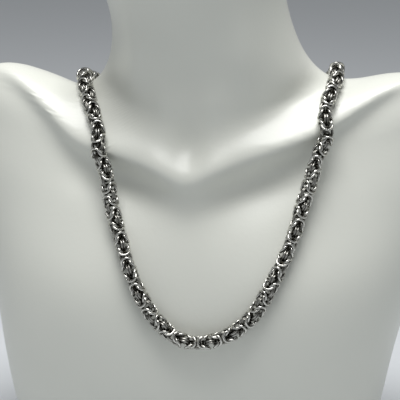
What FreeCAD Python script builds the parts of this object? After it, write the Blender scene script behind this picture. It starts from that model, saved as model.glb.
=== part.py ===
"""Byzantine chain necklace lying on a plain neck bust.

Millimetres, +Z up, front towards -Y. The origin is the middle of the flat face that the bust
stands on. The chain is a closed loop: knots of six rings each, turned a quarter turn from one
knot to the next, with a plain barrel clasp behind the neck.
"""
import FreeCAD, Part
import math
import os
from FreeCAD import Matrix, Placement, Rotation, Vector

DOC = FreeCAD.newDocument("ByzantineChain")
SHEET = DOC.addObject("Spreadsheet::Sheet", "Sizes")

# Driving dimensions: word, value, what it is
DRIVING = (
    ("wire_thick", 1.02, "wire of every ring, a little thin so that rings don't cut into each other"),
    ("ring_mean_radius", 2.6, "middle of the wire to the middle of the ring"),
    ("ring_corner_share", 1.03, "corner radius of the eight-sided ring over its mean radius"),
    ("knot_pitch", 6.5, "length of chain that one knot takes up"),
    ("knot_count", 80, "knots in the whole loop"),
    ("run_count", 16, "runs that the chain is made in"),
    ("split_lift", 1.9, "split pair: middle of a ring above or below the chain's middle"),
    ("split_tilt", 30, "split pair: slope of a ring, in degrees"),
    ("fold_lift", 1.86, "folded pair: middle of a ring to the side of the chain's middle"),
    ("fold_tilt", 29, "folded pair: slope of a ring, in degrees"),
    ("fold_behind", 0.48, "folded pair: how far its middles lie behind the knot's middle"),
    ("tongue_ahead", 3.02, "connecting pair: how far its middles lie ahead of the knot's middle"),
    ("tongue_lift", 0.57, "connecting pair: middle of a ring above or below the chain's middle"),
    ("core_radius", 0.6, "solder line that joins the rings of one run"),
    ("bead_radius", 0.76, "bead of solder over each joint in that line"),
    ("bead_hides", 0.2, "how far short of a bead's middle each rod of the line ends"),
    ("core_from", 1.3, "start of a run's solder line, ahead of its first knot's middle"),
    ("core_short", 0.25, "end of a run's solder line, before its last knot's middle"),
    ("core_end", 2.4, "end of the last solder line, ahead of the last knot's middle"),
    ("chain_stand_off", 4.35, "middle of the chain above the bust's surface"),
    ("first_knot_at", 3.1, "middle of the first knot, along the route"),
    ("first_turn", 67, "turn of the first knot about the chain, in degrees"),
    ("turn_per_knot", 9.4, "how much further each knot has rolled over, in degrees"),
    ("origin_aside", 5, "middle of the whole model's box, to the side of the tables' zero"),
    ("origin_before", 12.2, "middle of the whole model's box, in front of the tables' zero"),
    ("barrel_radius", 2.8, "clasp barrel"),
    ("collar_radius", 3.3, "band round each end of the clasp barrel"),
    ("collar_length", 1.4, "band round each end of the clasp barrel"),
    ("loop_radius", 2.2, "clasp end loop, middle of the wire"),
)
for row, (word, value, meaning) in enumerate(DRIVING, start=1):
    SHEET.set(f"A{row}", word)
    SHEET.set(f"B{row}", str(value))
    SHEET.set(f"C{row}", meaning)
    SHEET.setAlias(f"B{row}", word)
DOC.recompute()

# Chest and shoulders, from the base up: height, half width, depth to the front, depth to the
# back, roundness (2 is an ellipse, more is squarer, less is narrower towards the sides)
TORSO = (
    (0, 90, 48, 34, 2.4),
    (14, 96, 58, 38, 2.5),
    (40, 101, 66, 40, 2.5),
    (72, 107, 66, 42, 2.5),
    (108, 116, 57, 42, 2.5),
    (133, 124, 49, 42, 2.4),
    (147, 127, 51, 42, 2.2),
    (158, 129, 44, 42, 2.0),
    (168, 129, 37, 41, 1.9),
    (176, 124, 30, 39, 1.7),
    (183, 112, 25, 36, 1.6),
    (187, 94, 22, 34, 1.6),
    (190, 75, 20, 33, 1.7),
    (196, 58, 19, 31, 1.8),
    (206, 44, 18, 29, 2.0),
    (222, 36, 18, 27, 2.0),
    (250, 36, 18, 26, 2.0),
)
# Neck: height, half width, depth to the front, depth to the back, middle to the side,
# middle to the back
NECK = (
    (0, 30, 30, 32, -1, 4),
    (60, 30, 30, 32, 0, 4),
    (120, 30, 30, 32, 5, 4),
    (166, 42, 36, 34, 5, 5),
    (182, 48, 38, 35, 6, 4),
    (196, 51, 39, 35, 6, 3),
    (210, 47, 41, 36, 4, 0),
    (228, 44, 43, 37, 1, -3),
    (240, 45, 45, 38, -2, -6),
    (250, 47, 47, 39, -4, -9),
)
# Edge of the collarbone shelf, a wide V: distance to the side of the tip, how far it is above
# it, how far it is set back from it
SHELF_EDGE = (
    (0, 0, 0),
    (10, 6, 2),
    (22, 12, 5),
    (45, 22, 9),
    (60, 29, 12),
    (78, 39, 17),
    (95, 50, 22),
    (140, 60, 26),
)
# Height, share of that rise and setting back which is felt there
SHELF_SHARE = (
    (96, 0),
    (126, 0.85),
    (147, 1),
    (172, 1),
    (184, 0.7),
    (196, 0.2),
    (206, 0),
)
# Forms on the front: name, side, height, half width, half height, lean (rise over run), proud
FORMS = (
    ("collarbone inner end", 12, 152, 11, 6, 0.4, 3.5),
    ("collarbone middle", 42, 167, 24, 7, 0.45, 3.0),
    ("notch", 0, 162, 6, 9, 0.0, -3.5),
    ("hollow above the collarbone", 36, 180, 20, 7, 0.3, -1.5),
    ("hollow below the collarbone", 32, 142, 24, 9, 0.42, -6.0),
    ("breastbone furrow", 0, 114, 5, 30, 0.0, -1.8),
    ("swell of the chest", 48, 96, 30, 30, 0.0, 6.0),
    ("neck cord, low", 13, 184, 6, 14, 0.0, 2.5),
    ("neck cord, high", 27, 208, 7, 20, 0.0, 3.0),
)
# Shoulder line: side, how far it is lifted there
SHOULDER_LINE = (
    (-135, 17),
    (-98, 12),
    (-76, 2),
    (-59, -7),
    (-40, -5),
    (-15, 0),
    (15, 0),
    (45, -3),
    (66, -2),
    (82, 3),
    (98, 9),
    (135, 15),
)
# Height, share of the shoulder line's lift that is felt there
LIFT_SHARE = (
    (90, 0),
    (130, 0.35),
    (165, 1),
    (192, 1),
    (205, 0.5),
    (225, 0),
)
AROUND = 96
STEPS_PER_ROW = 3
END_CROWDING = 0.6
RUBBING_ROUNDS = 2
NEAREST_STRIDE = 0.01
BLEND_POWER = 9

# Route of the chain's middle, from the clasp behind the neck round by the left of the view,
# under the front and back up: side, depth, height
ROUTE = (
    (0, 42, 187),
    (-20, 41, 184),
    (-38, 36, 179),
    (-52, 26, 175),
    (-59, 13, 180),
    (-59, 1, 190),
    (-54, -13, 181),
    (-45, -28, 166),
    (-40, -41, 152),
    (-37, -46, 136),
    (-31, -52, 119),
    (-24, -60, 102),
    (-13, -64, 84),
    (2, -65, 73),
    (20, -66, 75),
    (35, -66, 86),
    (45, -61, 103),
    (53, -52, 121),
    (58, -45, 139),
    (63, -38, 157),
    (65.5, -25, 172),
    (70, -11, 187),
    (70, 5, 197),
    (68, 18, 187),
    (60, 31, 179),
    (43, 38, 180),
    (22, 41, 184),
)
ROUTE_SAMPLES = 360
EASING_ROUNDS = 6
BRIDGING_ROUNDS = 700
RING_SIDES = 8


def size(word):
    """One driving dimension, read from the sheet."""
    return float(SHEET.get(word))


def smooth(rows, at):
    """A row between the rows of a table, at a fractional row number, on a smooth curve."""
    low = min(int(at), len(rows) - 2)
    part = at - low
    before = rows[max(low - 1, 0)]
    after = rows[min(low + 2, len(rows) - 1)]
    out = []
    for a, b, c, d in zip(before, rows[low], rows[low + 1], after):
        bend = 2 * a - 5 * b + 4 * c - d
        twist = 3 * (b - c) + d - a
        out.append(b + 0.5 * part * (c - a + part * (bend + part * twist)))
    return out


def at_height(rows, height):
    """The row of a table at a value of its first column, such as a height."""
    height = min(max(height, rows[0][0]), rows[-1][0])
    low = max(i for i in range(len(rows) - 1) if rows[i][0] <= height)
    part = (height - rows[low][0]) / (rows[low + 1][0] - rows[low][0])
    return smooth(rows, low + part)


def oval(angle, wide, front, back, roundness):
    """Radius of a rounded outline at an angle, 0 at +X and -90 degrees at the front."""
    deep = front if math.sin(angle) < 0 else back
    across = abs(math.cos(angle) / wide) ** roundness
    along = abs(math.sin(angle) / deep) ** roundness
    return (across + along) ** (-1 / roundness)


def relief(side, height):
    """How far the forms of the front stand proud at a place seen from the front."""
    proud = 0.0
    for _, where, level, wide, high, lean, depth in FORMS:
        for sign in ((1, -1) if where else (1,)):
            across = (side * sign - where) / wide
            up = (height - level - lean * (side * sign - where)) / high
            proud += depth * math.exp(-across * across - up * up)
    return proud


def around(step):
    """Angle of one of the points round a level; they crowd together at the shoulders' ends."""
    turn = 2 * math.pi * step / AROUND
    return math.atan2(END_CROWDING * math.sin(turn), math.cos(turn))


def skin(level, angle):
    """A point of the bust's surface: level runs up the rows of TORSO, angle goes round.

    The shelf's edge climbs towards the shoulders, so the depth to the front is looked up lower
    down there. The shoulder line dips beside the neck and rises outwards, which moves points up
    or down.
    """
    height, wide, front, back, roundness = smooth(TORSO, level)
    _, neck_wide, neck_front, neck_back, aside, behind = at_height(NECK, height)
    offside = abs(aside + oval(angle, wide, front, back, roundness) * math.cos(angle))
    _, rise, set_back = at_height(SHELF_EDGE, offside)
    share = at_height(SHELF_SHARE, height)[1]
    front = at_height(TORSO, height - rise * share)[2] - set_back * share
    body = oval(angle, wide, front, back, roundness)
    neck = oval(angle, neck_wide, neck_front, neck_back, 2)
    radius = (body ** BLEND_POWER + neck ** BLEND_POWER) ** (1 / BLEND_POWER)
    x = aside + radius * math.cos(angle)
    y = behind + radius * math.sin(angle)
    facing = min(max(-math.sin(angle) * 3, 0), 1)
    y -= relief(x, height) * facing * facing * (3 - 2 * facing)
    lift = at_height(SHOULDER_LINE, x)[1]
    climb = at_height(LIFT_SHARE, height)[1]
    return Vector(x, y, height + lift * climb)


def bust_grid():
    """Levels of points all round the bust, from the base to the top of the neck.

    The forms are rubbed down a little, apart from the outlines of the base and of the top.
    """
    levels = []
    for step in range((len(TORSO) - 1) * STEPS_PER_ROW + 1):
        level = step / STEPS_PER_ROW
        levels.append([skin(level, around(i)) for i in range(AROUND)])
    for _ in range(RUBBING_ROUNDS):
        levels = [levels[0]] + [
            [(levels[j][i] * 4 + levels[j - 1][i] + levels[j + 1][i] + levels[j][i - 1]
              + levels[j][(i + 1) % AROUND]) * 0.125 for i in range(AROUND)]
            for j in range(1, len(levels) - 1)
        ] + [levels[-1]]
    return levels


def bust_solid(levels):
    """The closed faceted solid of the bust: flat base, walls, flat top."""
    points = [point for ring in levels for point in ring]
    facets = []
    for step in range(len(levels) - 1):
        for i in range(AROUND):
            a = step * AROUND + i
            b = step * AROUND + (i + 1) % AROUND
            facets.append((a, b, b + AROUND))
            facets.append((a, b + AROUND, a + AROUND))
    for ring, turn in ((levels[0], -1), (levels[-1], 1)):
        first = 0 if turn < 0 else (len(levels) - 1) * AROUND
        points.append(sum(ring, Vector()) * (1 / AROUND))
        for i in range(AROUND):
            edge = (first + i, first + (i + 1) % AROUND)
            facets.append((edge[::turn] + (len(points) - 1,)))
    shell = Part.Shape()
    shell.makeShapeFromMesh((points, facets), 0.001)
    return Part.makeSolid(shell)


def on_grid(levels, level, step):
    """A place on the bust at a fractional level and a fractional step round it."""
    level = min(max(level, 0), len(levels) - 1)
    j = min(int(level), len(levels) - 2)
    i = math.floor(step)
    up, along = level - j, step - i
    low = levels[j][i % AROUND] * (1 - along) + levels[j][(i + 1) % AROUND] * along
    high = levels[j + 1][i % AROUND] * (1 - along) + levels[j + 1][(i + 1) % AROUND] * along
    return low * (1 - up) + high * up


def outward(levels, level, step):
    """The outward direction of the bust's surface at one place."""
    up = on_grid(levels, level + 0.5, step) - on_grid(levels, level - 0.5, step)
    along = on_grid(levels, level, step + 0.5) - on_grid(levels, level, step - 0.5)
    return along.cross(up).normalize()


def nearest(point, levels):
    """The place on the bust's surface nearest to a point: where it is, and outwards from it."""
    distance, level, step = min(
        ((levels[j][i] - point).Length, j, i)
        for j in range(len(levels))
        for i in range(AROUND)
    )
    stride = 0.5
    while stride > NEAREST_STRIDE:
        moved = False
        for d_level, d_step in ((stride, 0), (-stride, 0), (0, stride), (0, -stride)):
            length = (on_grid(levels, level + d_level, step + d_step) - point).Length
            if length < distance:
                distance, level, step, moved = length, level + d_level, step + d_step, True
        if not moved:
            stride /= 2
    return on_grid(levels, level, step), outward(levels, level, step)


def closed_curve(rows, at):
    """A row between the rows of a closed list, at a fractional row number."""
    low = int(math.floor(at))
    around = [rows[(low + k) % len(rows)] for k in (-1, 0, 1, 2)]
    return smooth(around, 1 + at - low)


def eased(row):
    """Each vector of a closed row drawn towards its two neighbours."""
    return [(row[i - 1] + row[i] * 2 + row[(i + 1) % len(row)]) * 0.25 for i in range(len(row))]


def settled_route(levels):
    """The chain's middle all the way round, lying on the bust: points and outward directions.

    The route is eased, and then drawn outwards where it would dip into a hollow, because a chain
    hangs straight across one.
    """
    rough = []
    for i in range(ROUTE_SAMPLES):
        rough.append(Vector(*closed_curve(ROUTE, i * len(ROUTE) / ROUTE_SAMPLES)))
    clear = size("chain_stand_off")
    points, normals = [], []
    for point in rough:
        foot, normal = nearest(point, levels)
        points.append(foot + normal * clear)
        normals.append(normal)
    for _ in range(EASING_ROUNDS):
        points = eased(points)
        normals = eased(normals)
    for _ in range(BRIDGING_ROUNDS):
        points = [point + normal * max((drawn - point).dot(normal), 0)
                  for point, drawn, normal in zip(points, eased(points), normals)]
    out = []
    for point, normal in zip(points, normals):
        foot, away = nearest(point, levels)
        gap = (point - foot).dot(away)
        out.append(point + away * max(clear - gap, 0))
    return out, normals


class Route:
    """The chain's middle, measured along its length, with the chain's own axes at each place."""

    def __init__(self, points, normals):
        self.points = points
        self.normals = normals
        self.marks = [0.0]
        for i, point in enumerate(points):
            self.marks.append(self.marks[-1] + (points[(i + 1) % len(points)] - point).Length)
        self.length = self.marks[-1]

    def at(self, along):
        """Point and outward direction at a distance along the chain, which starts at the clasp."""
        along = (along + size("first_knot_at")) % self.length
        low = max(i for i in range(len(self.points)) if self.marks[i] <= along)
        at = low + (along - self.marks[low]) / (self.marks[low + 1] - self.marks[low])
        point = Vector(*closed_curve([tuple(p) for p in self.points], at))
        normal = Vector(*closed_curve([tuple(n) for n in self.normals], at))
        return point, normal

    def axes(self, along, quarter):
        """Point and the three axes of the chain, turned by a quarter on every second knot."""
        point, normal = self.at(along)
        ahead = (self.at(along + 0.5)[0] - self.at(along - 0.5)[0]).normalize()
        side = normal.cross(ahead).normalize()
        up = ahead.cross(side)
        knots = along / size("knot_pitch")
        turn = math.radians(size("first_turn") + size("turn_per_knot") * knots + 90 * quarter)
        across = side * math.cos(turn) + up * math.sin(turn)
        return point, ahead, across, ahead.cross(across)


def eight_sided_ring():
    """One ring of the chain as an eight-sided loop of round wire, flat at X and Y."""
    corner = size("ring_mean_radius") * size("ring_corner_share")
    turns = [2 * math.pi * (i + 0.5) / RING_SIDES for i in range(RING_SIDES)]
    corners = [Vector(math.cos(turn), math.sin(turn), 0) * corner for turn in turns]
    middle = (corners[0] + corners[-1]) * 0.5
    return pipe([middle] + corners + [middle], size("wire_thick") / 2)


def pipe(points, radius):
    """Round wire along straight runs, mitred at the corners."""
    section = Part.Wire(Part.makeCircle(radius, points[0], points[1] - points[0]))
    sweep = Part.BRepOffsetAPI.MakePipeShell(Part.makePolygon(points))
    sweep.setTransitionMode(1)
    sweep.add(section, False, False)
    sweep.build()
    sweep.makeSolid()
    return sweep.shape()


def placed(ring, centre, along, across):
    """A copy of the ring with its own X and Y laid along two directions."""
    normal = along.cross(across)
    matrix = Matrix(
        along.x, across.x, normal.x, centre.x,
        along.y, across.y, normal.y, centre.y,
        along.z, across.z, normal.z, centre.z,
        0, 0, 0, 1,
    )
    copy = ring.copy()
    copy.Placement = Placement(matrix)
    return copy


def split_pair(ring, route, knot):
    """The two rings that the next knot's tongue parts from one another."""
    point, ahead, across, up = route.axes(knot * size("knot_pitch"), knot % 2)
    tilt = math.radians(size("split_tilt"))
    pair = []
    for sign in (1, -1):
        centre = point + up * (sign * size("split_lift"))
        along = ahead * math.cos(tilt) + up * (sign * math.sin(tilt))
        pair.append(placed(ring, centre, along, across))
    return pair


def folded_pair(ring, route, knot):
    """The two rings folded back over the split pair, which show as the knot's eyes."""
    along_chain = knot * size("knot_pitch") - size("fold_behind")
    point, ahead, across, up = route.axes(along_chain, knot % 2)
    tilt = math.radians(size("fold_tilt"))
    pair = []
    for sign in (1, -1):
        centre = point + across * (sign * size("fold_lift"))
        along = ahead * math.cos(tilt) - across * (sign * math.sin(tilt))
        pair.append(placed(ring, centre, along, up))
    return pair


def connecting_pair(ring, route, knot):
    """The two rings side by side that reach from one knot into the next."""
    along_chain = knot * size("knot_pitch") + size("tongue_ahead")
    point, ahead, across, up = route.axes(along_chain, knot % 2)
    return [placed(ring, point + up * (sign * size("tongue_lift")), ahead, across)
            for sign in (1, -1)]


def solder_line(points):
    """Straight rods from point to point, with a bead over each joint that hides the rods' ends."""
    short = size("bead_hides")
    solids = []
    for i in range(len(points) - 1):
        ahead = (points[i + 1] - points[i]).normalize()
        start = points[i] + ahead * (short if i else 0)
        end = points[i + 1] - ahead * (short if i + 2 < len(points) else 0)
        solids.append(Part.makeCylinder(size("core_radius"), (end - start).Length, start, ahead))
    for before, point, after in zip(points, points[1:], points[2:]):
        solids.append(Part.makeSphere(size("bead_radius"), point, after - before))
    return solids


def chain_run(ring, route, first, last, whole_end):
    """One run of the chain: its rings, joined along the chain's middle by a line of solder."""
    pitch = size("knot_pitch")
    rings = []
    for knot in range(first, last):
        rings += folded_pair(ring, route, knot) + connecting_pair(ring, route, knot)
        if knot + 1 < last or not whole_end:
            rings += split_pair(ring, route, knot + 1)
    start = first * pitch + size("core_from")
    if whole_end:
        end = (last - 1) * pitch + size("core_end")
        middles = range(first, last - 1)
    else:
        end = last * pitch - size("core_short")
        middles = range(first, last)
    stations = [start] + [(knot + 0.5) * pitch for knot in middles] + [end]
    core = solder_line([route.at(along)[0] for along in stations])
    return core[0].multiFuse(core[1:] + rings)


def add_primitive(kind, label, sizes, start, ahead):
    """A plain solid whose own Z axis points ahead from its start, with sizes from the sheet."""
    piece = DOC.addObject(kind, label)
    for word, formula in sizes.items():
        piece.setExpression(word, formula)
    piece.Placement = Placement(start, Rotation(Vector(0, 0, 1), ahead))
    return piece


def clasp(ring, route):
    """Barrel clasp: the chain's first split pair soldered on one end, a loop on the other."""
    count = int(size("knot_count"))
    reach = size("ring_mean_radius") - size("wire_thick")
    loop_near = (count - 1) * size("knot_pitch") + size("tongue_ahead") + reach
    loop_middle = loop_near + size("loop_radius")
    tilt = math.radians(size("split_tilt"))
    start = route.at(loop_middle + size("loop_radius"))[0]
    end = route.at(route.length - size("ring_mean_radius") * math.cos(tilt))[0]
    ahead = (end - start).normalize()
    sheet = SHEET.Name
    barrel = add_primitive("Part::Cylinder", "clasp_barrel", {
        "Radius": f"{sheet}.barrel_radius",
    }, start, ahead)
    barrel.Height = (end - start).Length
    bands = [add_primitive("Part::Cylinder", f"clasp_band_{number}", {
        "Radius": f"{sheet}.collar_radius",
        "Height": f"{sheet}.collar_length",
    }, base, ahead) for number, base in ((1, start), (2, end - ahead * size("collar_length")))]
    point, _, across, _ = route.axes(loop_middle, count % 2)
    loop = add_primitive("Part::Torus", "clasp_end_loop", {
        "Radius1": f"{sheet}.loop_radius",
        "Radius2": f"{sheet}.wire_thick / 2",
    }, point, across)
    pair = []
    for number, shape in enumerate(split_pair(ring, route, 0), start=1):
        pair.append(DOC.addObject("Part::Feature", f"clasp_ring_{number}"))
        pair[-1].Shape = shape
    whole = DOC.addObject("Part::MultiFuse", "barrel_clasp")
    whole.Shapes = [barrel] + bands + [loop] + pair
    return whole


def settled(piece, label):
    """Name a piece and measure it from the middle of the whole model's base."""
    piece.Label = label
    piece.Placement = Placement(
        Vector(-size("origin_aside"), size("origin_before"), 0), Rotation()
    )
    return piece


def add_part(label, shape):
    """Put one finished shape into the document."""
    piece = DOC.addObject("Part::Feature", label)
    piece.Shape = shape
    return settled(piece, label)


def check(pieces):
    """Stop if a piece failed, is empty or isn't a valid closed solid."""
    DOC.recompute()
    for piece in DOC.Objects:
        if "Invalid" in piece.State or "Error" in piece.State:
            raise RuntimeError(f"{piece.Label} failed")
    for piece in pieces:
        shape = piece.Shape
        if shape.isNull() or not shape.isValid() or not shape.Solids:
            raise RuntimeError(f"{piece.Label} has no valid solid")


def main():
    """Build every piece, check them all and write each one to its own file."""
    levels = bust_grid()
    pieces = [add_part("neck_bust", bust_solid(levels))]
    route = Route(*settled_route(levels))
    print("loop", round(route.length, 1), "chain", size("knot_count") * size("knot_pitch"))
    ring = eight_sided_ring()
    runs, knots = int(size("run_count")), int(size("knot_count"))
    for number in range(runs):
        first, last = number * knots // runs, (number + 1) * knots // runs
        shape = chain_run(ring, route, first, last, last == knots)
        pieces.append(add_part(f"chain_run_{number + 1:02d}", shape))
        print(pieces[-1].Label, len(shape.Solids), round(shape.Volume, 2))
    pieces.append(settled(clasp(ring, route), "barrel_clasp"))
    check(pieces)
    os.makedirs("parts", exist_ok=True)
    for piece in pieces:
        piece.Shape.exportStep(f"parts/{piece.Label}.step")


if __name__ == "__main__":
    main()
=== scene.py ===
"""Looks of a byzantine chain necklace that lies round the neck of a plain white display bust.

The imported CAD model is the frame. The bust's smooth skin is grown from the CAD bust, and each run
of the chain is woven from single rings along the same route as the CAD runs. Sizes in the table
and in the classes' fields are millimetres, angles are degrees and the scale of a noise is its
clouds to the metre. Everything that is built is in metres.
"""

import logging
import math
from dataclasses import dataclass, field
from enum import Enum
from typing import Any, Iterator, Sequence

import bmesh
import bpy
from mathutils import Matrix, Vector
from mathutils.bvhtree import BVHTree


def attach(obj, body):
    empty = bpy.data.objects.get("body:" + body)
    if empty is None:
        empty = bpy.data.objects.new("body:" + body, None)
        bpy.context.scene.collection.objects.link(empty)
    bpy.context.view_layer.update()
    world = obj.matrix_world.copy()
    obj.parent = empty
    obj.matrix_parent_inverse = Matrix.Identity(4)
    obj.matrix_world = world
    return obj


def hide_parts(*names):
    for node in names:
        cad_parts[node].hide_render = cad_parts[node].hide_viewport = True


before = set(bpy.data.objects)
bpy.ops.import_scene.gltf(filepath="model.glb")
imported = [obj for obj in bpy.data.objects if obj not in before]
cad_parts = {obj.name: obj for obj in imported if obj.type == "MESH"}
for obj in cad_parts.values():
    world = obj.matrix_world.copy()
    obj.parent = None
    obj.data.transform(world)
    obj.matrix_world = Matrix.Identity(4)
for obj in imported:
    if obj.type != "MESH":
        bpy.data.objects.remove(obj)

LOG = logging.getLogger("byzantine_chain")
MM = 0.001
ROOT = "root"

# Route of the chain's middle, from the clasp behind the neck round by the left of the view,
# under the front and back up: side, depth, height
ROUTE = (
    (0, 42, 187),
    (-20, 41, 184),
    (-38, 36, 179),
    (-52, 26, 175),
    (-59, 13, 180),
    (-59, 1, 190),
    (-54, -13, 181),
    (-45, -28, 166),
    (-40, -41, 152),
    (-37, -46, 136),
    (-31, -52, 119),
    (-24, -60, 102),
    (-13, -64, 84),
    (2, -65, 73),
    (20, -66, 75),
    (35, -66, 86),
    (45, -61, 103),
    (53, -52, 121),
    (58, -45, 139),
    (63, -38, 157),
    (65.5, -25, 172),
    (70, -11, 187),
    (70, 5, 197),
    (68, 18, 187),
    (60, 31, 179),
    (43, 38, 180),
    (22, 41, 184),
)


class Slot(Enum):
    """Material slots of the record."""

    RESIN = "white_resin"
    SILVER = "silver"


class Pair(Enum):
    """The three pairs of rings in one knot of the weave."""

    SPLIT = "split"
    FOLDED = "folded"
    CONNECTING = "connecting"


class Value:
    """The output of a node, on which Python's operators stand for Math nodes."""

    def __init__(self, bench: "Bench", socket: bpy.types.NodeSocket) -> None:
        """Wrap one socket.

        Args:
            bench: The bench whose tree the socket is in.
            socket: An output socket.
        """
        self.bench = bench
        self.socket = socket

    def _maths(self, operation: str, first: Any, second: Any) -> "Value":
        """Add one Math node.

        Args:
            operation: Name of the operation.
            first: A value or a number.
            second: A value or a number.

        Returns:
            The node's output.
        """
        node = self.bench.node("ShaderNodeMath", {"operation": operation}, {0: first, 1: second})
        return Value(self.bench, node.outputs[0])

    def __add__(self, other: Any) -> "Value":
        """Sum of this and another value or number."""
        return self._maths("ADD", self, other)

    def __radd__(self, other: Any) -> "Value":
        """Sum of a number and this."""
        return self._maths("ADD", other, self)

    def __sub__(self, other: Any) -> "Value":
        """This less another value or number."""
        return self._maths("SUBTRACT", self, other)

    def __rsub__(self, other: Any) -> "Value":
        """A number less this."""
        return self._maths("SUBTRACT", other, self)

    def __mul__(self, other: Any) -> "Value":
        """This times another value or number."""
        return self._maths("MULTIPLY", self, other)

    def __rmul__(self, other: Any) -> "Value":
        """A number times this."""
        return self._maths("MULTIPLY", other, self)

    def __truediv__(self, other: Any) -> "Value":
        """This over another value or number."""
        return self._maths("DIVIDE", self, other)

    def clamped(self) -> "Value":
        """This kept between 0 and 1."""
        return self._maths("MINIMUM", self._maths("MAXIMUM", self, 0.0), 1.0)


class Bench:
    """Adds nodes to one tree."""

    def __init__(self, tree: bpy.types.NodeTree) -> None:
        """Start on a tree.

        Args:
            tree: The tree that every node goes into.
        """
        self.tree = tree

    def node(self, kind: str, settings: dict[str, Any] | None = None,
             values: dict[Any, Any] | None = None) -> bpy.types.Node:
        """Add one node.

        Args:
            kind: The node's type.
            settings: Its settings, made before its sockets are filled.
            values: Values or links of its sockets, by name or number.

        Returns:
            The node.
        """
        made = self.tree.nodes.new(kind)
        for name, setting in (settings or {}).items():
            setattr(made, name, setting)
        for name, value in (values or {}).items():
            if isinstance(value, Value):
                self.tree.links.new(value.socket, made.inputs[name])
            else:
                made.inputs[name].default_value = value
        return made

    def value(self, kind: str, settings: dict[str, Any] | None = None,
              values: dict[Any, Any] | None = None, output: Any = 0) -> Value:
        """Add one node and wrap one of its outputs.

        Args:
            kind: The node's type.
            settings: Its settings.
            values: Values or links of its sockets.
            output: Name or number of the output.

        Returns:
            The wrapped output.
        """
        return Value(self, self.node(kind, settings, values).outputs[output])

    def vector(self, operation: str, first: Any, second: Any = None, output: Any = 0) -> Value:
        """Add one Vector Math node.

        Args:
            operation: Name of the operation.
            first: A value or a vector.
            second: A value or a vector, or None if the operation takes only one.
            output: Name or number of the output.

        Returns:
            The wrapped output.
        """
        values = {0: first}
        if second is not None:
            values[1] = second
        return self.value("ShaderNodeVectorMath", {"operation": operation}, values, output)

    def blend(self, share: Value, first: Any, second: Any) -> Value:
        """Mix two colours.

        Args:
            share: How much of the second colour shows.
            first: A colour, or a value that is one.
            second: A colour, or a value that is one.

        Returns:
            The mixed colour.
        """
        values = {0: share, 6: first, 7: second}
        return self.value("ShaderNodeMix", {"data_type": "RGBA"}, values, 2)

    def noise(self, place: Value, scale: float, detail: float) -> Value:
        """Soft clouds between 0 and 1."""
        values = {"Vector": place, "Scale": scale, "Detail": detail}
        return self.value("ShaderNodeTexNoise", {}, values)

    def bump(self, height: Value, depth: float, strength: float) -> Value:
        """A normal from a height, with its depth in millimetres."""
        values = {"Height": height, "Distance": depth * MM, "Strength": strength}
        return self.value("ShaderNodeBump", {}, values)


class Finish:
    """A finish: a material with one Principled shader that a class fills in."""

    def material(self, name: str) -> bpy.types.Material:
        """Make the material.

        Args:
            name: Name of the material.

        Returns:
            The material, with its nodes.
        """
        made = bpy.data.materials.new(name)
        made.use_nodes = True
        made.node_tree.nodes.clear()
        bench = Bench(made.node_tree)
        shader = bench.value("ShaderNodeBsdfPrincipled", {}, self.sockets(bench))
        bench.node("ShaderNodeOutputMaterial", {}, {"Surface": shader})
        return made

    def sockets(self, bench: Bench) -> dict[str, Any]:
        """Values and links of the shader's sockets."""
        raise NotImplementedError


@dataclass(frozen=True)
class PolishedSilver(Finish):
    """Bright silver wire with painted shade towards the chain's middle, where the rings shade each
    other, and some tarnish.
    """

    bright: tuple[float, ...] = (0.62, 0.61, 0.57, 1.0)
    # Colour of the painted shade towards the chain's middle, where the rings shade each other, with
    # some tarnish
    tarnish_and_shade: tuple[float, ...] = (0.04, 0.037, 0.026, 1.0)
    polish: float = 0.13
    dullness: float = 0.30
    cloud_scale: float = 260.0
    cloud_detail: float = 2.0
    cloud_share: float = 0.35
    scratch_scale: float = 1500.0
    scratch_detail: float = 3.0
    scratch_depth: float = 0.02
    scratch_strength: float = 0.5
    scratch_haze: float = 0.06

    def sockets(self, bench: Bench) -> dict[str, Any]:
        """Darken the wire towards the chain's middle with painted shade, dull it there, and scratch
        it faintly.

        Args:
            bench: The material's bench.

        Returns:
            Values and links of the shader's sockets.
        """
        place = bench.value("ShaderNodeTexCoord", output="Object")
        recess_shade = bench.value("ShaderNodeAttribute", {"attribute_name": "recess_shade"}, output="Fac")
        clouds = bench.noise(place, self.cloud_scale, self.cloud_detail)
        scratches = bench.noise(place, self.scratch_scale, self.scratch_detail)
        # Painted shade: darker towards the chain's middle, where the rings shade each other, with
        # random tarnish clouds over it
        dark = (recess_shade + (clouds - 0.5) * self.cloud_share).clamped()
        haze = (scratches - 0.5) * self.scratch_haze
        return {
            "Base Color": bench.blend(dark, self.bright, self.tarnish_and_shade),
            "Metallic": 1.0,
            "Roughness": self.polish + dark * self.dullness + haze,
            "Normal": bench.bump(scratches, self.scratch_depth, self.scratch_strength),
        }


@dataclass(frozen=True)
class WhiteResin(Finish):
    """Satin moulded resin with a faint orange peel."""

    body: tuple[float, ...] = (0.74, 0.745, 0.68, 1.0)
    cloud: tuple[float, ...] = (0.69, 0.70, 0.64, 1.0)
    satin: float = 0.42
    satin_change: float = 0.12
    coat: float = 0.25
    coat_satin: float = 0.25
    cloud_scale: float = 22.0
    cloud_detail: float = 3.0
    peel_scale: float = 420.0
    peel_detail: float = 1.0
    peel_depth: float = 0.08
    peel_strength: float = 0.4

    def sockets(self, bench: Bench) -> dict[str, Any]:
        """Cloud the colour a little, vary the gloss and lay the orange peel.

        Args:
            bench: The material's bench.

        Returns:
            Values and links of the shader's sockets.
        """
        place = bench.value("ShaderNodeTexCoord", output="Object")
        clouds = bench.noise(place, self.cloud_scale, self.cloud_detail)
        peel = bench.noise(place, self.peel_scale, self.peel_detail)
        return {
            "Base Color": bench.blend(clouds.clamped(), self.body, self.cloud),
            "Roughness": self.satin + (clouds - 0.5) * self.satin_change,
            "Coat Weight": self.coat,
            "Coat Roughness": self.coat_satin,
            "Normal": bench.bump(peel, self.peel_depth, self.peel_strength),
        }


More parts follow.
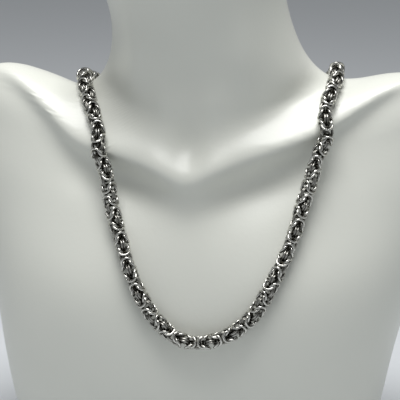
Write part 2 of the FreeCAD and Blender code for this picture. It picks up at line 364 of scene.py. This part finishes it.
@dataclass(frozen=True)
class PaleFloor(Finish):
    """Matt floor of the studio."""

    colour: tuple[float, ...] = (0.62, 0.64, 0.66, 1.0)
    dullness: float = 0.9

    def sockets(self, bench: Bench) -> dict[str, Any]:
        """One matt colour."""
        return {"Base Color": self.colour, "Roughness": self.dullness}


def smooth_row(rows: Sequence[Sequence[float]], at: float) -> list[float]:
    """A row between the rows of a closed table, on a smooth curve.

    Args:
        rows: The table's rows.
        at: A fractional row number.

    Returns:
        The row at that place.
    """
    low = math.floor(at)
    part = at - low
    around = [rows[(low + step) % len(rows)] for step in (-1, 0, 1, 2)]
    out = []
    for a, b, c, d in zip(*around):
        bend = 2 * a - 5 * b + 4 * c - d
        twist = 3 * (b - c) + d - a
        out.append(b + 0.5 * part * (c - a + part * (bend + part * twist)))
    return out


def piece(name: str, mesh: bpy.types.Mesh, slot: Slot, *nodes: str) -> bpy.types.Object:
    """Turn a finished mesh into a piece of the object.

    Args:
        name: The piece's name.
        mesh: Its mesh, in the frame's place.
        slot: A material slot of the record; not used.
        nodes: The CAD nodes it stands for.

    Returns:
        The piece.
    """
    made = bpy.data.objects.new(name, mesh)
    bpy.context.scene.collection.objects.link(made)
    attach(made, ROOT)
    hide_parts(*nodes)
    LOG.info("%s: %d faces for %s", name, len(mesh.polygons), ", ".join(nodes))
    return made


def evaluated_mesh(source: bpy.types.Object) -> bpy.types.Mesh:
    """The plain mesh that an object's modifiers make; the object itself is removed.

    Args:
        source: An object with modifiers.

    Returns:
        A new mesh.
    """
    bpy.context.view_layer.update()
    depsgraph = bpy.context.evaluated_depsgraph_get()
    mesh = bpy.data.meshes.new_from_object(source.evaluated_get(depsgraph), depsgraph=depsgraph)
    source.modifiers.clear()
    bpy.data.objects.remove(source)
    return mesh


@dataclass
class NeckBust:
    """Plain display bust: neck, collarbone shelf, shoulders and chest."""

    node: str = "neck_bust"
    weld: float = 0.02
    fold_angle: float = 35.0
    edge_angle: float = 50.0
    edge_crease: float = 0.75
    levels: int = 2
    finish: WhiteResin = field(default_factory=WhiteResin)
    mesh: bpy.types.Mesh | None = None

    def grow_skin(self) -> None:
        """Merge a copy of the CAD bust, pair its triangles and subdivide it."""
        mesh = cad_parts[self.node].data.copy()
        mesh.name = "bust_skin"
        work = bmesh.new()
        work.from_mesh(mesh)
        bmesh.ops.remove_doubles(work, verts=work.verts, dist=self.weld * MM)
        fold = math.radians(self.fold_angle)
        bmesh.ops.join_triangles(work, faces=work.faces, angle_face_threshold=fold,
                                 angle_shape_threshold=fold)
        crease = work.edges.layers.float.new("crease_edge")
        for edge in work.edges:
            if len(edge.link_faces) == 2:
                if edge.calc_face_angle() > math.radians(self.edge_angle):
                    edge[crease] = self.edge_crease
        work.to_mesh(mesh)
        work.free()
        cage = bpy.data.objects.new("bust_cage", mesh)
        bpy.context.scene.collection.objects.link(cage)
        rounding = cage.modifiers.new("rounding", "SUBSURF")
        rounding.levels = self.levels
        rounding.render_levels = self.levels
        self.mesh = evaluated_mesh(cage)
        self.mesh.shade_smooth()

    def surface(self) -> BVHTree:
        """The skin as a tree that finds the place nearest to a point."""
        corners = [vertex.co for vertex in self.mesh.vertices]
        return BVHTree.FromPolygons(corners, [tuple(face.vertices) for face in self.mesh.polygons])

    def build(self) -> bpy.types.Object:
        """Dress the skin and hand it over as a piece.

        Returns:
            The piece.
        """
        self.mesh.materials.clear()
        self.mesh.materials.append(self.finish.material("satin_resin"))
        return piece("bust_skin", self.mesh, Slot.RESIN, self.node)


@dataclass
class Route:
    """The chain's middle, measured along its length, with the chain's own axes at each place.

    The table's route is moved by aside and behind to where the CAD bust stands, and held stand_off
    from its skin. The chain starts turned by first_turn and rolls on by turn_per_knot.
    """

    surface: BVHTree
    aside: float = -5.0
    behind: float = 12.2
    stand_off: float = 4.35
    samples: int = 360
    easing_rounds: int = 6
    bridging_rounds: int = 700
    first_knot_at: float = 3.1
    pitch: float = 6.5
    first_turn: float = 67.0
    turn_per_knot: float = 9.4
    axis_reach: float = 0.5
    points: list[Vector] = field(default_factory=list)
    normals: list[Vector] = field(default_factory=list)
    marks: list[float] = field(default_factory=list)

    def settle(self) -> None:
        """Lay the table's route on the bust, ease its bends and measure it."""
        clear = self.stand_off * MM
        points, normals = [], []
        for i in range(self.samples):
            x, y, z = smooth_row(ROUTE, i * len(ROUTE) / self.samples)
            rough = Vector((x + self.aside, y + self.behind, z)) * MM
            foot, normal, _, _ = self.surface.find_nearest(rough)
            points.append(foot + normal * clear)
            normals.append(normal)
        for _ in range(self.easing_rounds):
            points = self.eased(points)
            normals = self.eased(normals)
        for _ in range(self.bridging_rounds):
            points = [point + normal * max((drawn - point).dot(normal), 0.0)
                      for point, drawn, normal in zip(points, self.eased(points), normals)]
        for point in points:
            foot, away, _, _ = self.surface.find_nearest(point)
            gap = (point - foot).dot(away)
            self.points.append(point + away * max(clear - gap, 0.0))
        self.normals = normals
        self.marks = [0.0]
        for i, point in enumerate(self.points):
            step = self.points[(i + 1) % self.samples] - point
            self.marks.append(self.marks[-1] + step.length)

    @staticmethod
    def eased(row: list[Vector]) -> list[Vector]:
        """Each vector of a closed row drawn towards its two neighbours."""
        count = len(row)
        return [(row[i - 1] + row[i] * 2 + row[(i + 1) % count]) * 0.25 for i in range(count)]

    @property
    def length(self) -> float:
        """Length of the loop in metres."""
        return self.marks[-1]

    def at(self, along: float) -> tuple[Vector, Vector]:
        """One place on the route.

        Args:
            along: Distance along the chain in metres, from the middle of its first knot.

        Returns:
            The point and the outward direction.
        """
        along = (along + self.first_knot_at * MM) % self.length
        low = max(i for i in range(self.samples) if self.marks[i] <= along)
        row = low + (along - self.marks[low]) / (self.marks[low + 1] - self.marks[low])
        point = Vector(smooth_row(self.points, row))
        normal = Vector(smooth_row(self.normals, row))
        return point, normal

    def axes(self, along: float, quarter: int) -> tuple[Vector, Vector, Vector, Vector]:
        """The chain's own axes at one place.

        Args:
            along: Distance along the route in metres.
            quarter: 1 on every second knot, which is a quarter turn on, or 0.

        Returns:
            The point, and the directions ahead, across and up.
        """
        reach = self.axis_reach * MM
        point, normal = self.at(along)
        ahead = (self.at(along + reach)[0] - self.at(along - reach)[0]).normalized()
        side = normal.cross(ahead).normalized()
        up = ahead.cross(side)
        knots = along / (self.pitch * MM)
        angle = math.radians(self.first_turn + self.turn_per_knot * knots + 90.0 * quarter)
        across = side * math.cos(angle) + up * math.sin(angle)
        return point, ahead, across, ahead.cross(across)


@dataclass
class RingPlace:
    """Where one ring of the weave lies."""

    centre: Vector
    along: Vector
    axis: Vector
    middle: Vector
    ahead: Vector


@dataclass
class Weave:
    """The byzantine weave: six rings a knot, each knot a quarter turn on from the last."""

    route: Route
    knots: int = 80
    ring_radius: float = 2.7
    wire_radius: float = 0.57
    split_lift: float = 1.98
    split_tilt: float = 30.0
    fold_lift: float = 1.94
    fold_tilt: float = 29.0
    fold_behind: float = 0.48
    tongue_ahead: float = 3.02
    tongue_lift: float = 0.57

    def pair(self, kind: Pair, knot: int) -> Iterator[RingPlace]:
        """The two rings of one pair.

        Args:
            kind: Which pair of the knot.
            knot: The knot's number.

        Yields:
            The place of each ring.
        """
        shift = {Pair.SPLIT: 0.0, Pair.FOLDED: -self.fold_behind, Pair.CONNECTING: self.tongue_ahead}
        station = (knot * self.route.pitch + shift[kind]) * MM
        point, ahead, across, up = self.route.axes(station, knot % 2)
        for sign in (1, -1):
            if kind is Pair.SPLIT:
                lift = up * (sign * self.split_lift)
                tilt = math.radians(self.split_tilt)
                along = ahead * math.cos(tilt) + up * (sign * math.sin(tilt))
                flat = across
            elif kind is Pair.FOLDED:
                lift = across * (sign * self.fold_lift)
                tilt = math.radians(self.fold_tilt)
                along = ahead * math.cos(tilt) - across * (sign * math.sin(tilt))
                flat = up
            else:
                lift = up * (sign * self.tongue_lift)
                along = ahead
                flat = across
            yield RingPlace(point + lift * MM, along, along.cross(flat), point, ahead)

    def run(self, first: int, last: int, whole_end: bool) -> list[RingPlace]:
        """The rings of one run of the chain.

        Args:
            first: The run's first knot.
            last: The knot after its last.
            whole_end: True on the last run, which has no split pair after its last knot.

        Returns:
            The places of its rings.
        """
        rings: list[RingPlace] = []
        for knot in range(first, last):
            rings += self.pair(Pair.FOLDED, knot)
            rings += self.pair(Pair.CONNECTING, knot)
            if knot + 1 < last or not whole_end:
                rings += self.pair(Pair.SPLIT, knot + 1)
        return rings


@dataclass
class RingTree:
    """Geometry nodes that lay a wire ring on each point and mark it for painted shade, darker
    towards the chain's middle.
    """

    finish: bpy.types.Material
    # Painted shade is full within dark_within of the chain's middle and gone from bright_from
    # outwards
    bright_from: float = 3.9
    dark_within: float = 2.0
    tree: bpy.types.NodeTree | None = None

    VECTORS = ("along", "axis", "middle", "ahead")

    def build(self) -> None:
        """Make the tree, with named inputs for its sizes."""
        tree = bpy.data.node_groups.new("ring_weave", "GeometryNodeTree")
        face = tree.interface
        face.new_socket("Places", in_out="INPUT", socket_type="NodeSocketGeometry")
        for name in ("Ring radius", "Wire radius", "Dark within", "Bright from"):
            face.new_socket(name, in_out="INPUT", socket_type="NodeSocketFloat")
        for name in ("Ring sides", "Wire sides"):
            face.new_socket(name, in_out="INPUT", socket_type="NodeSocketInt")
        face.new_socket("Rings", in_out="OUTPUT", socket_type="NodeSocketGeometry")
        bench = Bench(tree)
        given = bench.node("NodeGroupInput")
        size = {socket.name: Value(bench, socket) for socket in given.outputs if socket.name}
        hoop = bench.value("GeometryNodeCurvePrimitiveCircle", {},
                           {"Resolution": size["Ring sides"], "Radius": size["Ring radius"]})
        wire = bench.value("GeometryNodeCurvePrimitiveCircle", {},
                           {"Resolution": size["Wire sides"], "Radius": size["Wire radius"]})
        ring = bench.value("GeometryNodeCurveToMesh", {}, {"Curve": hoop, "Profile Curve": wire})
        turned = bench.value("FunctionNodeAxesToRotation",
                             {"primary_axis": "Z", "secondary_axis": "X"},
                             {"Primary Axis": self.stored(bench, "axis"),
                              "Secondary Axis": self.stored(bench, "along")})
        laid = bench.value("GeometryNodeInstanceOnPoints", {},
                           {"Points": size["Places"], "Instance": ring, "Rotation": turned})
        real = bench.value("GeometryNodeRealizeInstances", {}, {"Geometry": laid})
        rounded = bench.value("GeometryNodeSetShadeSmooth", {}, {"Geometry": real})
        place = bench.value("GeometryNodeInputPosition")
        ahead = self.stored(bench, "ahead")
        away = bench.vector("SUBTRACT", place, self.stored(bench, "middle"))
        reach = bench.vector("CROSS_PRODUCT", away, ahead)
        distance = bench.vector("LENGTH", reach, output="Value")
        # Painted shade: the nearer a point of the wire lies to the chain's middle line, the darker
        # the material paints it
        span = size["Bright from"] - size["Dark within"]
        recess_shade = ((size["Bright from"] - distance) / span).clamped()
        marked = bench.value("GeometryNodeStoreNamedAttribute",
                             {"data_type": "FLOAT", "domain": "POINT"},
                             {"Geometry": rounded, "Name": "recess_shade", "Value": recess_shade})
        dressed = bench.value("GeometryNodeSetMaterial", {},
                              {"Geometry": marked, "Material": self.finish})
        bench.node("NodeGroupOutput", {}, {"Rings": dressed})
        self.tree = tree

    @staticmethod
    def stored(bench: Bench, name: str) -> Value:
        """A direction or place that the points carry."""
        return bench.value("GeometryNodeInputNamedAttribute", {"data_type": "FLOAT_VECTOR"},
                           {"Name": name}, "Attribute")

    def rings(self, name: str, places: list[RingPlace], ring_radius: float, wire_radius: float,
              ring_sides: int, wire_sides: int) -> bpy.types.Mesh:
        """The rings at some places as one plain mesh.

        Args:
            name: Name of the mesh.
            places: Where the rings lie.
            ring_radius: Middle of the wire to the middle of the ring, in millimetres.
            wire_radius: Radius of the wire, in millimetres.
            ring_sides: Sides round the ring.
            wire_sides: Sides round the wire.

        Returns:
            The mesh, with its attribute of painted shade in the recesses, and its material.
        """
        points = bpy.data.meshes.new(name + "_places")
        points.from_pydata([place.centre for place in places], [], [])
        for word in self.VECTORS:
            stored = points.attributes.new(word, "FLOAT_VECTOR", "POINT")
            for row, place in zip(stored.data, places):
                row.vector = getattr(place, word)
        carrier = bpy.data.objects.new(name + "_places", points)
        bpy.context.scene.collection.objects.link(carrier)
        weaving = carrier.modifiers.new("weaving", "NODES")
        weaving.node_group = self.tree
        inputs = {
            "Ring radius": ring_radius * MM,
            "Wire radius": wire_radius * MM,
            "Dark within": self.dark_within * MM,
            "Bright from": self.bright_from * MM,
            "Ring sides": ring_sides,
            "Wire sides": wire_sides,
        }
        for word, number in inputs.items():
            weaving[self.tree.interface.items_tree[word].identifier] = number
        mesh = evaluated_mesh(carrier)
        mesh.name = name
        for word in self.VECTORS:
            mesh.attributes.remove(mesh.attributes[word])
        return mesh


@dataclass
class ChainRuns:
    """The sixteen runs of the chain, each a piece of thirty rings."""

    weave: Weave
    tree: RingTree
    runs: int = 16
    ring_sides: int = 14
    wire_sides: int = 6

    def build(self) -> list[bpy.types.Object]:
        """Weave each run and hand it over as a piece.

        Returns:
            The pieces.
        """
        made = []
        knots = self.weave.knots
        for number in range(self.runs):
            first = number * knots // self.runs
            last = (number + 1) * knots // self.runs
            name = f"{number + 1:02d}"
            mesh = self.tree.rings("links_" + name, self.weave.run(first, last, last == knots),
                                   self.weave.ring_radius, self.weave.wire_radius,
                                   self.ring_sides, self.wire_sides)
            made.append(piece("links_" + name, mesh, Slot.SILVER, "chain_run_" + name))
        return made


@dataclass
class BarrelClasp:
    """Barrel clasp behind the neck: barrel with a band at each end, a loop and a soldered pair."""

    weave: Weave
    tree: RingTree
    node: str = "barrel_clasp"
    barrel_radius: float = 2.8
    band_radius: float = 3.3
    band_length: float = 1.4
    edge_round: float = 0.3
    edge_bow: float = 0.3
    end_hole: float = 0.02
    loop_radius: float = 2.2
    sides: int = 40
    ring_sides: int = 20
    wire_sides: int = 10
    # The barrel's share of the chain's painted shade, the same all over it
    barrel_painted_shade: float = 0.05

    def profile(self, length: float) -> list[tuple[float, float]]:
        """Distance along and radius of the barrel's outline, in millimetres.

        Args:
            length: Length of the barrel.

        Returns:
            The outline's corners from one end to the other.
        """
        band, barrel, wide = self.band_radius, self.barrel_radius, self.band_length
        rim = self.edge_round
        bow = rim * self.edge_bow
        half = [
            (0.0, self.end_hole),
            (0.0, band - 3 * rim),
            (0.0, band - rim),
            (bow, band - bow),
            (rim, band),
            (wide - rim, band),
            (wide - bow, band - bow),
            (wide, band - rim),
            (wide, barrel),
            (wide + rim, barrel),
            (wide + 2 * rim, barrel),
        ]
        far = [(length - distance, radius) for distance, radius in reversed(half)]
        return half + far

    def barrel(self, start: Vector, end: Vector) -> bpy.types.Mesh:
        """The turned barrel between two points.

        Args:
            start: Middle of its first end, in metres.
            end: Middle of its other end, in metres.

        Returns:
            Its mesh.
        """
        ahead = (end - start).normalized()
        side = ahead.orthogonal().normalized()
        up = ahead.cross(side)
        work = bmesh.new()
        rows = []
        for distance, radius in self.profile((end - start).length / MM):
            row = []
            for i in range(self.sides):
                angle = 2 * math.pi * i / self.sides
                out = side * math.cos(angle) + up * math.sin(angle)
                row.append(work.verts.new(start + (ahead * distance + out * radius) * MM))
            rows.append(row)
        for low, high in zip(rows, rows[1:]):
            for i in range(self.sides):
                after = (i + 1) % self.sides
                work.faces.new((low[i], low[after], high[after], high[i]))
        work.faces.new(rows[0][::-1])
        work.faces.new(rows[-1])
        bmesh.ops.recalc_face_normals(work, faces=work.faces)
        mesh = bpy.data.meshes.new("barrel")
        work.to_mesh(mesh)
        work.free()
        mesh.shade_smooth()
        # Painted shade: a small, even darkening of the barrel
        shade = mesh.attributes.new("recess_shade", "FLOAT", "POINT")
        for row in shade.data:
            row.value = self.barrel_painted_shade
        mesh.materials.append(self.tree.finish)
        return mesh

    def build(self) -> bpy.types.Object:
        """Turn the barrel, add the loop and the soldered pair, and hand over the piece.

        Returns:
            The piece.
        """
        weave, route = self.weave, self.weave.route
        reach = weave.ring_radius - 2 * weave.wire_radius
        loop_near = (weave.knots - 1) * route.pitch + weave.tongue_ahead + reach
        loop_middle = loop_near + self.loop_radius
        tilt = math.radians(weave.split_tilt)
        start = route.at((loop_middle + self.loop_radius) * MM)[0]
        end = route.at(route.length - weave.ring_radius * math.cos(tilt) * MM)[0]
        point, ahead, across, _ = route.axes(loop_middle * MM, weave.knots % 2)
        loop = RingPlace(point, ahead, across, point, ahead)
        first_pair = list(weave.pair(Pair.SPLIT, 0))
        meshes = [
            self.barrel(start, end),
            self.tree.rings("end_loop", [loop], self.loop_radius, weave.wire_radius,
                            self.ring_sides, self.wire_sides),
            self.tree.rings("end_pair", first_pair, weave.ring_radius, weave.wire_radius,
                            self.ring_sides, self.wire_sides),
        ]
        work = bmesh.new()
        for mesh in meshes:
            work.from_mesh(mesh)
        whole = bpy.data.meshes.new("clasp")
        work.to_mesh(whole)
        work.free()
        whole.materials.append(self.tree.finish)
        return piece("clasp", whole, Slot.SILVER, self.node)


@dataclass
class Studio:
    """Pale floor, soft light from above, a weak fill, and the camera."""

    target: tuple[float, float, float] = (2.6, -35.8, 140.0)
    azimuth: float = 8.0
    elevation: float = 14.0
    distance: float = 850.0
    lens: float = 156.0
    sensor: float = 36.0
    floor_half: float = 4000.0
    key_height: float = 1100.0
    key_before: float = 120.0
    key_size: float = 700.0
    key_power: float = 15.0
    fill_colour: tuple[float, float, float] = (0.95, 0.98, 1.0)
    fill_strength: float = 0.30
    nearest_seen: float = 10.0
    farthest_seen: float = 20000.0

    def floor(self) -> None:
        """Lay the floor under the bust."""
        reach = self.floor_half * MM
        corners = [(-reach, -reach, 0), (reach, -reach, 0), (reach, reach, 0), (-reach, reach, 0)]
        mesh = bpy.data.meshes.new("floor")
        mesh.from_pydata(corners, [], [(0, 1, 2, 3)])
        mesh.materials.append(PaleFloor().material("pale_floor"))
        laid = bpy.data.objects.new("floor", mesh)
        bpy.context.scene.collection.objects.link(laid)

    def lights(self) -> None:
        """Hang the soft light and set the fill."""
        lamp = bpy.data.lights.new("key", "AREA")
        lamp.shape = "SQUARE"
        lamp.size = self.key_size * MM
        lamp.energy = self.key_power
        key = bpy.data.objects.new("key", lamp)
        bpy.context.scene.collection.objects.link(key)
        middle = Vector(self.target) * MM
        key.location = middle + Vector((0, -self.key_before, self.key_height)) * MM
        key.rotation_mode = "QUATERNION"
        key.rotation_quaternion = (middle - key.location).to_track_quat("-Z", "Y")
        world = bpy.data.worlds.new("studio")
        world.use_nodes = True
        back = world.node_tree.nodes["Background"]
        back.inputs["Color"].default_value = (*self.fill_colour, 1.0)
        back.inputs["Strength"].default_value = self.fill_strength
        bpy.context.scene.world = world

    def camera(self) -> None:
        """Set the camera at the photograph's viewing angle."""
        around, above = math.radians(self.azimuth), math.radians(self.elevation)
        back = Vector((math.sin(around) * math.cos(above), -math.cos(around) * math.cos(above),
                       math.sin(above)))
        lens = bpy.data.cameras.new("camera")
        lens.lens = self.lens
        lens.sensor_width = self.sensor
        lens.clip_start = self.nearest_seen * MM
        lens.clip_end = self.farthest_seen * MM
        camera = bpy.data.objects.new("camera", lens)
        bpy.context.scene.collection.objects.link(camera)
        camera.location = (Vector(self.target) + back * self.distance) * MM
        camera.rotation_mode = "QUATERNION"
        camera.rotation_quaternion = (-back).to_track_quat("-Z", "Y")
        bpy.context.scene.camera = camera

    def build(self) -> None:
        """Set up the whole studio."""
        self.floor()
        self.lights()
        self.camera()
        bpy.context.scene.view_settings.view_transform = "Standard"


def main() -> None:
    """Build every piece in order and report it."""
    logging.basicConfig(level=logging.INFO, format="%(name)s: %(message)s")
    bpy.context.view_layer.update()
    bust = NeckBust()
    bust.grow_skin()
    route = Route(bust.surface())
    bust.build()
    route.settle()
    LOG.info("loop: %.1f mm", route.length / MM)
    weave = Weave(route)
    tree = RingTree(PolishedSilver().material("polished_silver"))
    tree.build()
    ChainRuns(weave, tree).build()
    BarrelClasp(weave, tree).build()
    Studio().build()


if __name__ == "__main__":
    main()
